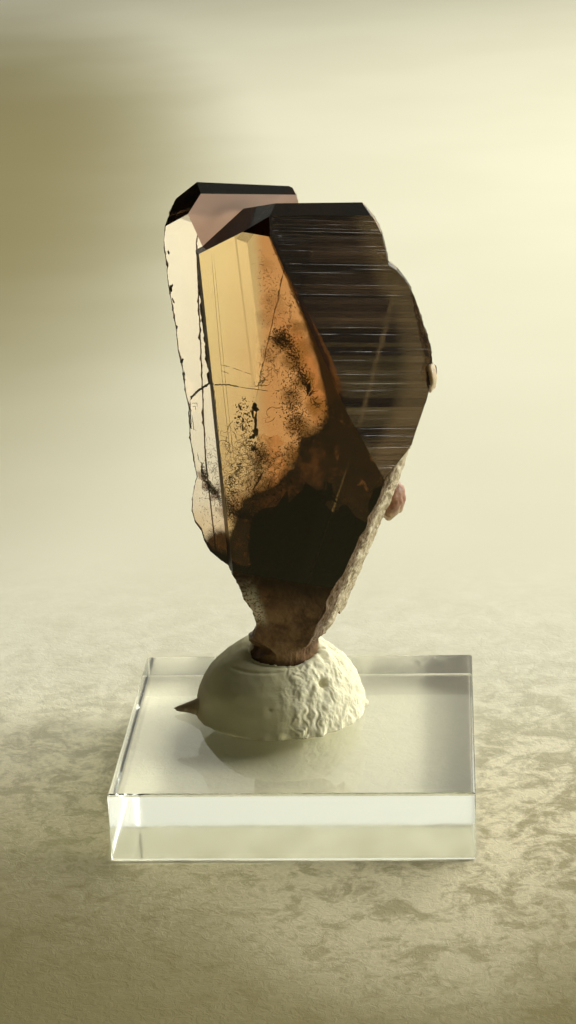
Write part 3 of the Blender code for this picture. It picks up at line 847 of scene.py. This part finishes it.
# the smoke's own colours, with a reddish part at its right and one pale line
reddish = (mottle * 0.7 + wisp * 0.5 + soft * 0.5).between(0.06, 0.20)
reddish = reddish * (x + z * 0.2).between(9.5, 12.0)
line_x, line_z, line_lean = PALE_LINE
edge_line = (x - line_x - (z - line_z) * line_lean + mottle * 0.2).size().between(0.13, 0.03)
edge_line = edge_line * z.between(32.5, 23.0)
smoke_colour = layered((mottle + soft).between(0.02, 0.35).blend(SMOKE, SMOKE_BROWN),
                       (reddish, SMOKE_RED), (edge_line * 0.9, SMOKED_OVER))
in_smoke = (smoke * (1 - back) * (1 - fresh)).most(dark_face - striated)

gold = (x * 0.5 - z * 0.16 + soft * 2.0).between(-11.2, -6.8).blend(GOLD_PALE, GOLD_DEEP)
rosy = (x + soft * 1.3 + wisp * 0.3).between(-2.9, -1.7).most(
    (x + soft + (z - 36.0) * 0.3).between(-3.8, -2.2) * (37.0 - z).between(0.0, 2.0))
edge_colour = (z + mottle * 2.0).between(39.6, 36.8).blend(EDGE_AMBER, EDGE_DEEP)
mauve = (z + soft).between(54.2, 52.0).blend(MAUVE, MAUVE_DEEP)
strip_tint = layered((31.0 - z + soft * 8.0).between(0.0, 7.0).blend(CLEAR_PINK, STRIP_ROSE),
                     (moss_haze, MOSS_HAZE))
tint = layered(gold, (rosy, SALMON), (ember * 0.8, EMBER), (fringe * 0.8, AMBER_BROWN),
               (moss_haze, MOSS_HAZE), (edge_amber, edge_colour), (core * 0.99, CORE_BROWN),
               (rear_blade.between(*SMOOTH_MARK), mauve),
               (rear_blade.between(*STRIP_MARK), strip_tint), (back, BACK_TINT),
               (fresh, FRESH_TINT), (in_smoke, smoke_colour),
               (striated * from_edge.between(0.12, -0.02), streak_colour))
matt_rear = (rear_blade - 0.5).size().between(0.1, 0.0)
finish_material(tree, {"Base Color": tint, "IOR": STONE_IOR, "Transmission Weight": 1.0,
                       "Roughness": striated * 0.20 + matt_rear * 0.55 + fresh * 0.6,
                       "Normal": relief(striated * fine_streaks, 0.5, 0.05)},
                STONE_DEPTH_TINT, STONE_DENSITY)

smoked_skin, tree, place = start_material("smoked_axinite")
rear_bevel, = read_values(tree, "rear_bevel")
cloudy = grain(place, 0.9, 4.0, 0.6, 0.5)
fine_cloud = grain(place, 4.0, 3.0, 0.65)
smoke_colour = layered(cloudy.between(0.30, 0.55).blend(SMOKE, SMOKED_OVER),
                       (rear_bevel * cloudy.between(0.3, 0.7), OLIVE_CLEAR))
finish_material(tree, {"Base Color": smoke_colour, "IOR": STONE_IOR,
                       "Transmission Weight": 1.0, "Specular Tint": SMOKED_SHEEN,
                       "Roughness": 0.04 + fine_cloud * 0.12,
                       "Normal": relief(cloudy, 0.3, 0.04)},
                STONE_DEPTH_TINT, STONE_DENSITY)

RIM_TAN = (0.440, 0.361, 0.229, 1)
RIM_PALE = (0.634, 0.572, 0.414, 1)
RIM_BROWN = (0.12, 0.075, 0.035, 1)
BROKEN_BROWN = (0.34, 0.20, 0.095, 1)
BROKEN_DARK = (0.085, 0.048, 0.022, 1)
RIM_OLIVE = (0.075, 0.058, 0.030, 1)
# painted contact shade on the foot
FOOT_PAINTED_CONTACT_SHADE = (0.034, 0.020, 0.010, 1)
FOOT_SMOKED = (0.058, 0.035, 0.017, 1)
FOOT_AMBER = (0.30, 0.17, 0.075, 1)
# painted glints on the foot
FOOT_PAINTED_GLINTS = (0.86, 0.77, 0.56, 1)
# painted shade on the step wall
SEAM_PAINTED_SHADE = (0.050, 0.024, 0.006, 1)
SEAM_TAN = (0.34, 0.23, 0.12, 1)
rough_skin, tree, place = start_material("broken_axinite")
broken, step = read_values(tree, "broken", "step")
grit = grain(place, 1.4, 5.0, 0.65, 0.4)
fine_grit = grain(place, 5.0, 3.0, 0.7)
x, y, z = axes_of(place)
rim_inner = (x - 4.0 - (z - 18.0) * 0.42 + (grit - 0.5) * 1.6).between(0.35, -0.35)
rim_colour = layered((grit * 0.6 + fine_grit * 0.4).between(0.42, 0.62).blend(RIM_TAN, RIM_PALE),
                     (rim_inner, RIM_BROWN), ((z + grit * 3.0).between(36.5, 39.0), RIM_OLIVE))
cloudy = grain(place, 0.45, 4.0, 0.55, 0.3)
in_front = (2.5 - y).between(-1.0, 1.0)
amber = ((x + 3.6).square() + (z - 19.2).square() * 0.5).between(3.2, 0.4)
amber = amber * grit.between(0.35, 0.55)
# painted glints: pale speckles on the foot's left side
painted_glint_patch = (0 - x - (z - 14.0) * 0.27).between(1.7, 2.6)
painted_glint_patch = painted_glint_patch * (z - 15.5).between(0, 1.5) * (21.5 - z).between(0, 0.5)
broken_colour = layered(
    (cloudy * 0.65 + grit * 0.35).between(0.34, 0.66).blend(BROKEN_DARK, BROKEN_BROWN),
    (in_front * amber * 0.8, FOOT_AMBER), (painted_glint_patch * fine_grit.between(0.40, 0.52), FOOT_PAINTED_GLINTS),
    # painted contact shade: near black low on the foot's front, where it sits in the tack
    (in_front * (11.7 - z + grit).between(-0.4, 0.8), FOOT_PAINTED_CONTACT_SHADE),
    (in_front * (z + cloudy * 5.0 + x * 0.16).between(19.0, 22.6), FOOT_SMOKED))
# painted shade: the narrow step wall is dark brown, tan lower down
seam_tan = (z + grit * 2.0).between(31.0, 29.6) * z.between(23.4, 24.8)
finish_material(tree, {"Base Color": layered(rim_colour, (broken, broken_colour),
                                             (step, seam_tan.blend(SEAM_PAINTED_SHADE, SEAM_TAN))),
                       "Roughness": 0.30 + fine_grit * 0.35, "Specular IOR Level": 0.25,
                       "Normal": relief(grit * 0.7 + fine_grit * 0.4, 0.7, 0.12)})
dress(crystal.data, axinite, rough_skin, smoked_skin)
crystal.data.polygons.foreach_set("material_index", [SKINS.get(kind, 0) for kind in face_kinds])
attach(crystal, "root")
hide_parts("axinite_crystal")


# ---------------------------------------------------------------- grains on the broken edge
# Two rounded grains grown onto the crystal's right edge, a beige one and a pinkish brown
# one with a paler lower rim. Waxy, and a little light soaks into them.
GRAINS = (      # middle, half sizes in mm, how pink
    ((12.36, 4.1, 37.75), (0.56, 0.80, 1.40), 0.0),
    ((8.30, 5.0, 26.15), (1.60, 1.34, 2.03), 1.0),
)
GRAIN_BEIGE = (0.50, 0.41, 0.26, 1)
GRAIN_PINK = (0.32, 0.17, 0.10, 1)
GRAIN_PALE = (0.60, 0.48, 0.34, 1)
MOST_SWELL = 1.08

grain_verts, grain_faces, pinkness, lowness = [], [], [], []
for number, (middle, half_sizes, pink) in enumerate(GRAINS):
    bm = bmesh.new()
    bmesh.ops.create_icosphere(bm, subdivisions=5, radius=1.0)
    bm.verts.ensure_lookup_table()
    first = len(grain_verts)
    for vert in bm.verts:
        p = vert.co.normalized()
        swell = 1 + 0.20 * noise(p * 1.2 + Vector((number * 7, 0, 3))) + 0.06 * noise(p * 3.4)
        swell -= 0.05 * (1 - abs(noise(p * 2.3 + Vector((9, number, 0))))) ** 4
        out = Vector([a * b for a, b in zip(p, half_sizes)])
        grain_verts.append(Vector(middle) + out * min(swell, MOST_SWELL))
        pinkness.append(pink)
        lowness.append(smooth_step(-p.z + 0.3 * p.x, 0.35, 0.95))
    grain_faces += [[first + vert.index for vert in face.verts] for face in bm.faces]
    bm.free()
grains = mesh_object("clinging_grains", grain_verts, grain_faces)
add_values(grains.data, "pink", pinkness)
add_values(grains.data, "low", lowness)
set_smooth(grains.data, True)
waxy, tree, place = start_material("clinging_grain")
pink, low = read_values(tree, "pink", "low")
mottle = grain(place, 1.1, 4.0, 0.6)
fine = grain(place, 4.0, 4.0, 0.65)
colour = pink.blend(GRAIN_BEIGE, GRAIN_PINK)
colour = (low * 0.75).most(mottle.between(0.55, 0.75) * 0.5).blend(colour, GRAIN_PALE)
finish_material(tree, {"Base Color": colour, "Roughness": 0.30 + fine * 0.3, "IOR": 1.55,
                       "Subsurface Weight": 0.6, "Subsurface Radius": (1.0, 0.6, 0.35),
                       "Subsurface Scale": 0.9 * MM,
                       "Normal": relief(mottle + fine * 0.4, 0.5, 0.12)})
dress(grains.data, waxy)
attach(grains, "root")


# ---------------------------------------------------------------- moss inside the stone
# Dark threads and crumbs of chlorite grown in behind the front face, in tangled strands
# and loose curls. They are walked out point by point, then thickened by Geometry Nodes.
# Lengths here are in mm.
ARC = ((-8.32, 30.5), (-7.8, 29.1), (-7.3, 28.2), (-6.1, 27.5), (-5.5, 26.85), (-4.6, 26.3),
       (-3.4, 26.4))
MOSS_STRANDS = (    # places the strand runs through, threads, mm they stray, mm long, mm thick
    (((-1.96, 50.2), (-1.59, 46.2), (-1.9, 42.1), (-2.3, 40.8)), 75, 0.42, 0.40, 0.015),
    (((-1.3, 48.8), (-0.38, 43.1), (-1.8, 40.3)), 70, 0.45, 0.50, 0.017),
    (((0.55, 46.9), (0.2, 44.4), (-0.5, 42.9)), 60, 0.20, 0.45, 0.022),
    (((-0.9, 43.0), (-0.3, 42.2)), 139, 0.42, 0.58, 0.029),
    (((-0.38, 43.1), (1.1, 39.8), (1.5, 38.4)), 170, 0.26, 0.53, 0.029),
    (((1.15, 39.6), (1.8, 38.0), (2.5, 36.6)), 51, 0.12, 0.69, 0.036),
    (((0.9, 40.2), (0.0, 38.1), (0.7, 34.4)), 232, 0.50, 0.47, 0.026),
    (((-1.9, 41.4), (-1.2, 40.1), (-2.6, 38.6)), 69, 0.30, 0.69, 0.021),
    (((0.3, 36.6), (1.0, 34.0), (0.4, 32.4)), 170, 0.42, 0.42, 0.029),
    (((-4.3, 33.6), (-2.9, 31.6), (-4.2, 28.4)), 263, 0.80, 1.22, 0.016),
    (((-3.5, 33.4), (-2.6, 31.6), (-3.1, 30.6)), 108, 0.30, 0.42, 0.032),
    (((-4.1, 36.8), (-4.0, 35.4), (-4.3, 34.0)), 69, 0.32, 0.32, 0.036),
    (((-2.6, 31.9), (-0.9, 31.4), (0.4, 32.4)), 93, 0.38, 0.37, 0.029),
    (((-4.6, 31.1), (-5.4, 29.7), (-5.5, 28.3)), 93, 0.16, 0.42, 0.029),
    (((-7.4, 31.6), (-6.3, 29.6), (-5.4, 29.3)), 155, 0.70, 1.00, 0.011),
    (ARC[:4], 210, 0.15, 0.47, 0.032),
    (ARC[3:], 310, 0.28, 0.53, 0.027),
    (ARC[2:], 294, 0.70, 0.85, 0.016),
    (((-4.6, 27.8), (-2.4, 28.9), (-0.6, 30.6)), 232, 0.75, 0.53, 0.022),
    (((2.0, 33.0), (3.2, 35.5), (3.6, 37.0)), 108, 0.40, 0.47, 0.027),
    (((-8.3, 28.0), (-7.6, 26.0), (-6.6, 23.5)), 62, 0.60, 0.26, 0.016),
    (((-6.2, 33.6), (-5.2, 31.6), (-4.6, 30.4)), 85, 0.70, 1.06, 0.013),
)
CURLS = (((-2.3, 40.0), 220, 3.0), ((-3.0, 38.8), 232, 2.2), ((2.1, 38.6), 285, 3.2),
         ((-0.9, 36.5), 250, 2.6), ((0.8, 41.0), 300, 2.8), ((-5.9, 33.0), 300, 3.4),
         ((-1.3, 35.6), 235, 1.6), ((-5.1, 35.2), 230, 2.0))    # start, heading, mm long
THREAD_STEP = 0.11
CRUMBS_PER_GIRTH, CURL_GIRTH, CURL_DEPTH = 130, 0.026, 0.3
SHALLOWEST, DEEPEST = 0.13, 1.9     # mm behind the face
THREAD_INPUTS = (("Thread Sides", "Int", 4), ("Crumb Seed", "Int", 3),
                 ("Thread Thickness", "Float", 1.0), ("Crumb Size", "Float", 1.0))
BLADE_SPLIT = -6.6          # mm across, where the strip of the rear blade ends
WINDOW_FACE, STRIP_FACE = (-0.40, -3.0), (1.30, -9.0)       # how deep, at a place across
FRONT_FACES = [(facing(right, up), Vector(point)) for kind, point, right, up in FACE_PLANES
               if kind in ("window", "bevel", "step")]
FRONT_FACES += [(facing(*STRIATED[1:]), Vector(STRIATED[0]))]
MOSS_OLIVE = (0.16, 0.085, 0.022, 1)
MOSS_BLACK = (0.022, 0.012, 0.005, 1)


def inside_stone(across_mm, up, depth):
    """The place this deep behind the front faces that shows at a height on the face."""
    level_y, level_x = STRIP_FACE if across_mm < BLADE_SPLIT else WINDOW_FACE
    if up < 34:
        across_mm = max(across_mm, -8.2 if 27.6 < up < 31 else -8.5)
    place = Vector((across_mm, level_y - 0.105 * (across_mm - level_x) + depth, up - 0.17 * depth))
    for plane, point in FRONT_FACES:
        if across_mm >= BLADE_SPLIT:
            place -= plane * max(0.0, plane.dot(place - point) + 0.12)
    return place


def lengths(path):
    return [(Vector(b) - Vector(a)).length for a, b in zip(path, path[1:])]


def along_path(path, share):
    """The point a share of the way along a path."""
    spans = lengths(path)
    left = share * sum(spans)
    for a, b, span in zip(path, path[1:], spans):
        if left <= span:
            return Vector(a).lerp(Vector(b), left / span)
        left -= span
    return Vector(path[-1])


dice = random.Random(7)
places, links, girths = [], [], []


def grow_thread(start, heading, length, girth, depth):
    bend = dice.gauss(0, 0.12)
    steps = max(3, int(length / THREAD_STEP))
    across_mm, up = start
    for step in range(steps):
        places.append(inside_stone(across_mm, up, depth))
        girths.append(girth * (1.15 - 0.8 * abs(2 * step / steps - 0.7)) * dice.uniform(0.6, 1.3))
        if step:
            links.append((len(places) - 2, len(places) - 1))
        bend = 0.75 * bend + dice.gauss(0, 0.16)
        heading += bend + (dice.gauss(0, 1.0) if dice.random() < 0.12 else 0.0)
        across_mm += THREAD_STEP * math.cos(heading)
        up += THREAD_STEP * math.sin(heading)
        depth = min(DEEPEST, max(SHALLOWEST, depth + dice.gauss(0, 0.04)))


crumb_places, crumb_sizes = [], []
for path, threads, stray, length, girth in MOSS_STRANDS:
    for number in range(threads):
        spot = along_path(path, dice.random())
        start = (spot.x + dice.gauss(0, stray), spot.y + dice.gauss(0, stray))
        depth = abs(dice.gauss(0, 0.5)) + 0.15
        heading, run = dice.uniform(0, 2 * math.pi), length * dice.uniform(0.3, 1.3)
        grow_thread(start, heading, run, girth, depth)
        for crumb in range(int(girth * CRUMBS_PER_GIRTH * dice.random())):
            crumb_x, crumb_z = (middle + dice.gauss(0, stray) for middle in start)
            crumb_places.append(inside_stone(crumb_x, crumb_z, depth))
            crumb_sizes.append(girth * dice.uniform(0.5, 1.0 + 2.0 * dice.random() ** 3))
for start, heading, length in CURLS:
    grow_thread(start, math.radians(heading), length, CURL_GIRTH, CURL_DEPTH)

thread_lines = bpy.data.meshes.new("thread_lines")
thread_lines.from_pydata([p * MM for p in places + crumb_places], links, [])
add_values(thread_lines, "girth", girths + crumb_sizes)
add_values(thread_lines, "crumb", [False] * len(places) + [True] * len(crumb_places),
           kind="BOOLEAN")
moss = add_object("moss_threads", thread_lines)


def speck_finish(name, scale, tones, first, second, roughness):
    """The finish of something small and dark inside the stone, mottled in two colours."""
    finish, tree, place = start_material(name)
    tone = grain(place, scale, 3.0, 0.6).between(*tones)
    finish_material(tree, {"Base Color": tone.blend(first, second),
                           "Roughness": roughness + tone * 0.3, "IOR": 1.6})
    return finish


chlorite = speck_finish("chlorite_moss", 1.2, (0.35, 0.62), MOSS_OLIVE, MOSS_BLACK, 0.55)

thicken = bpy.data.node_groups.new("Thicken Threads", "GeometryNodeTree")
for name, way, kind in (("Geometry", "INPUT", "Geometry"), ("Geometry", "OUTPUT", "Geometry"),
                        *((name, "INPUT", kind) for name, kind, value in THREAD_INPUTS)):
    thicken.interface.new_socket(name, in_out=way, socket_type="NodeSocket" + kind)
taken = thicken.nodes.new("NodeGroupInput")
lines, sides, seed, thick, crumb_size = (Wire(thicken, taken.outputs[k]) for k in range(5))
girth, crumb = (
    add_node(thicken, "GeometryNodeInputNamedAttribute", {"data_type": kind}, {"Name": name})
    for kind, name in (("FLOAT", "girth"), ("BOOLEAN", "crumb")))
curves = add_node(thicken, "GeometryNodeMeshToCurve", None, {"Mesh": lines})
profile = add_node(thicken, "GeometryNodeCurvePrimitiveCircle", None,
                   {"Resolution": sides, "Radius": MM})
tubes = add_node(thicken, "GeometryNodeCurveToMesh", None,
                 {"Curve": curves, "Profile Curve": profile, "Scale": girth * thick,
                  "Fill Caps": True})
points = add_node(thicken, "GeometryNodeMeshToPoints", None, {"Mesh": lines, "Selection": crumb})
grit_shape = add_node(thicken, "GeometryNodeMeshIcoSphere", None,
                      {"Radius": MM, "Subdivisions": 1})
turned, stretched = (
    add_node(thicken, "FunctionNodeRandomValue", {"data_type": "FLOAT_VECTOR"},
             {0: (low,) * 3, 1: (high,) * 3, 8: number})
    for low, high, number in ((0.0, 6.28, seed), (0.6, 1.5, seed + 1)))
scaled = add_node(thicken, "ShaderNodeVectorMath", {"operation": "SCALE"},
                  {0: stretched, "Scale": girth * crumb_size})
crumbs = add_node(thicken, "GeometryNodeInstanceOnPoints", None,
                  {0: points, 2: grit_shape, 5: turned, 6: scaled})
both = add_node(thicken, "GeometryNodeJoinGeometry")
for part in (tubes, crumbs):
    thicken.links.new(part.socket, both.socket.node.inputs[0])
whole = add_node(thicken, "GeometryNodeRealizeInstances", None, {0: both})
covered = add_node(thicken, "GeometryNodeSetMaterial", None,
                   {"Geometry": whole, "Material": chlorite})
add_node(thicken, "NodeGroupOutput", None, {0: covered})
modifier = moss.modifiers.new("Thicken", "NODES")
modifier.node_group = thicken
named = {item.name: item.identifier for item in thicken.interface.items_tree
         if item.in_out == "INPUT"}
for name, kind, value in THREAD_INPUTS:
    modifier[named[name]] = value
apply_modifiers(moss)
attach(moss, "root")


# ---------------------------------------------------------------- cracks and films
# A healed crack across the clear part, hair cracks down its left, the doubled growth
# lines and a few dark flakes. Thin closed ribbons and scales lying inside the stone.
CRACKS = (      # places it runs through, mm wide, mm deep behind the face, mm it wavers
    (((-8.93, 36.75), (-8.76, 37.03), (-8.2, 37.59), (-7.19, 38.24), (-6.73, 38.43)),
     0.26, 0.20, 0.05),
    (((-6.73, 38.43), (-5.93, 38.49), (-5.22, 38.46), (-4.4, 38.30)), 0.14, 0.25, 0.05),
    (((-4.4, 38.30), (-3.9, 38.21), (-2.75, 38.09), (-1.87, 37.96)), 0.07, 0.25, 0.03),
    (((-6.74, 38.4), (-6.72, 37.79), (-6.61, 37.06), (-6.58, 35.68), (-6.45, 34.3), (-6.58, 32.91),
      (-6.48, 31.52), (-6.33, 30.59)), 0.13, 0.22, 0.06),
    (((-6.40, 50.2), (-6.05, 42.08), (-5.8, 37.26), (-5.34, 30.61)), 0.034, 0.8, 0.0),
    (((-6.20, 50.2), (-5.79, 42.09), (-5.53, 37.26), (-5.07, 30.61)), 0.028, 0.8, 0.0),
    (((-8.96, 36.71), (-8.99, 33.92), (-8.59, 30.66), (-8.33, 30.0)), 0.13, 0.25, 0.05),
    (((-8.84, 35.32), (-8.67, 33.0), (-8.4, 30.95)), 0.07, 0.25, 0.04),
    (((-8.40, 29.9), (-8.55, 29.24), (-8.65, 27.35), (-8.60, 26.4)), 0.10, 0.25, 0.06),
    (((-8.80, 36.4), (-8.35, 36.45), (-8.33, 36.1)), 0.05, 0.25, 0.02),
    (((-8.75, 36.1), (-8.5, 36.15), (-8.5, 35.8)), 0.05, 0.25, 0.02),
    *((path, 0.05, 0.3, 0.02) for path in (
        ((-6.0, 40.3), (-5.2, 40.12)), ((-4.9, 40.02), (-4.1, 39.72)),
        ((-3.9, 39.66), (-3.3, 39.45)), ((-5.9, 39.75), (-5.3, 39.5)))),
)
FLAKES = (      # middle, half width and half height in mm, degrees it leans, mm deep
    ((-3.02, 36.45), 0.30, 0.34, 20, 0.25), ((-3.30, 35.9), 0.12, 0.40, 5, 0.3),
    ((-3.06, 35.2), 0.15, 0.75, -4, 0.25), ((-3.12, 34.2), 0.20, 0.55, -8, 0.25),
    ((-3.35, 33.75), 0.28, 0.22, 30, 0.3), ((-3.30, 32.6), 0.24, 0.20, -20, 0.3),
    ((-4.42, 36.4), 0.10, 0.24, 20, 0.4), ((-4.2, 35.2), 0.10, 0.14, -20, 0.4),
    ((-4.25, 34.5), 0.07, 0.2, 0, 0.4), ((1.75, 38.2), 0.15, 0.55, -12, 0.3),
    ((-5.6, 29.9), 0.12, 0.16, 0, 0.3),
    ((-10.28, 50.1), 0.08, 0.20, 12, 0.2), ((-10.22, 46.9), 0.14, 0.36, -18, 0.2),
    ((-10.05, 45.7), 0.08, 0.22, 22, 0.2), ((-9.88, 43.3), 0.07, 0.26, -12, 0.2),
    ((-9.55, 40.3), 0.12, 0.28, -22, 0.2), ((-9.36, 39.1), 0.08, 0.20, 14, 0.2),
)
CRACK_STEP, CRACK_THICK = 0.12, 0.02
FLAKE_LAYERS = ((0, 0.85), (0.02, 1.0), (0.04, 0.85))       # mm deep, and how wide there
FLAKE_CORNERS = 28
CRACK_BROWN = (0.05, 0.030, 0.016, 1)
CRACK_DARK = (0.010, 0.007, 0.004, 1)

film_parts = []
for number, (path, width, depth, waver) in enumerate(CRACKS):
    count = max(6, int(sum(lengths(path)) / CRACK_STEP))
    middles = []
    for step in range(count + 1):
        spot = along_path(path, step / count)
        sway = waver * Vector([noise_at(step * 0.7, number, way) for way in (0, 9)])
        middles.append(spot + sway * 1.6)
    rings = []
    for step, spot in enumerate(middles):
        run = (middles[min(step + 1, count)] - middles[max(step - 1, 0)]).normalized()
        side = Vector((-run.y, run.x)) * width / 2
        side *= (0.75 + 0.6 * noise_at(step * 0.9, number, 4)) * (
            0.35 + 0.65 * smooth_step(min(step, count - step), -0.5, count * 0.12))
        corners = []
        for out, deep in ((1, 0), (1, CRACK_THICK), (-1, CRACK_THICK), (-1, 0)):
            edge = spot + side * out
            corners.append(inside_stone(edge.x, edge.y, depth + deep))
        rings.append(corners)
    film_parts.append(ringed("crack_" + str(number), rings))
for number, (middle, half_wide, half_high, lean, depth) in enumerate(FLAKES):
    rings = []
    for deep, shrink in FLAKE_LAYERS:
        ring = []
        for k in range(FLAKE_CORNERS):
            angle = 2 * math.pi * k / FLAKE_CORNERS
            wide, high = math.cos(angle), math.sin(angle)
            ragged = 1 + 0.75 * noise_at(wide * 1.5, high * 1.5, number * 3.1)
            ragged += 0.35 * noise_at(wide * 4.5, high * 4.5, number * 2.3)
            out = Vector((wide * half_wide, high * half_high)) * ragged * shrink
            out.rotate(Matrix.Rotation(math.radians(lean), 2))
            ring.append(inside_stone(middle[0] + out.x, middle[1] + out.y, depth + deep))
        rings.append(ring)
    film_parts.append(ringed("flake_" + str(number), rings))

films = add_object("crack_films", bpy.data.meshes.new("crack_films"))
turn_outwards([part.data for part in film_parts], films.data)
for part in film_parts:
    bpy.data.objects.remove(part, do_unlink=True)
dress(films.data, speck_finish("crack_film", 2.2, (0.40, 0.60), CRACK_DARK, CRACK_BROWN, 0.45))
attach(films, "root")
